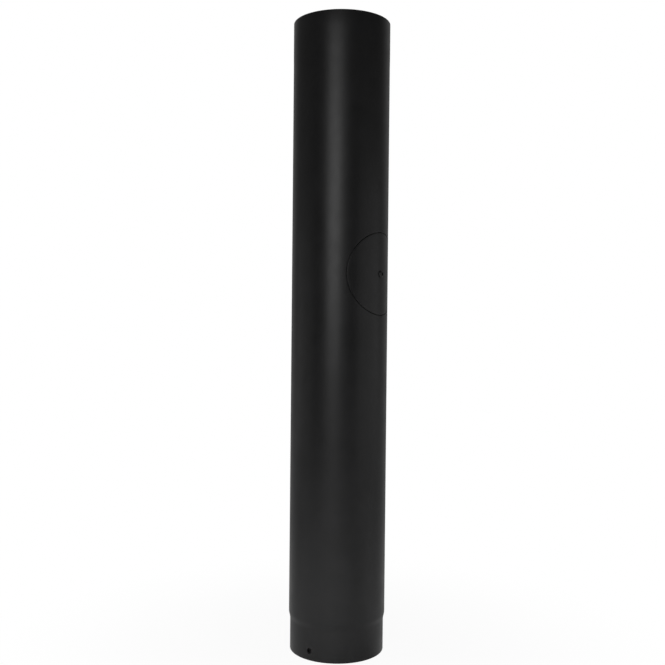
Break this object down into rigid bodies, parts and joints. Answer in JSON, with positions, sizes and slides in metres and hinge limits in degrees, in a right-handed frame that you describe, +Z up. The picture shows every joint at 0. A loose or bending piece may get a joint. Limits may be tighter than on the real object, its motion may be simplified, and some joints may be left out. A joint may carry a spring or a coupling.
{
  "type": "flue pipe with inspection door",
  "caption": "Straight round flue pipe with a swaged spigot, a socket mouth and a flush round inspection door held by a quarter-turn bar latch.",
  "frame": {"origin": "centre of the spigot's end, on the pipe's axis, where the pipe stands", "axes": "+Z up the pipe from spigot to socket, -Y out through the inspection door"},
  "size_m": [0.1544, 0.1576, 1],
  "materials": {
    "enamel": "satin black stove enamel on steel sheet",
    "gasket_fibre": "pressed ceramic-fibre paper",
    "black_steel": "black oxide steel",
    "zinc_steel": "dull zinc plate"
  },
  "bodies": {
    "pipe": {"flue_pipe": "enamel", "door_seat": "enamel"},
    "door": {"door_cover": "enamel", "door_gasket": "gasket_fibre"},
    "latch": {"latch_screw": "black_steel", "flat_washer": "zinc_steel", "spring_washer": "zinc_steel", "latch_spacer": "zinc_steel", "latch_bar": "zinc_steel", "lock_nut": "zinc_steel"}
  },
  "joints": [
    {"name": "door_lift_off", "type": "slide", "parent": "pipe", "child": "door", "axis": [0, -1, 0], "range_m": [0, 0.15]},
    {"name": "latch_turn", "type": "hinge", "parent": "door", "child": "latch", "pos_m": [0, -0.0772, 0.6], "axis": [0, 1, 0], "range_deg": [0, 90]}
  ]
}
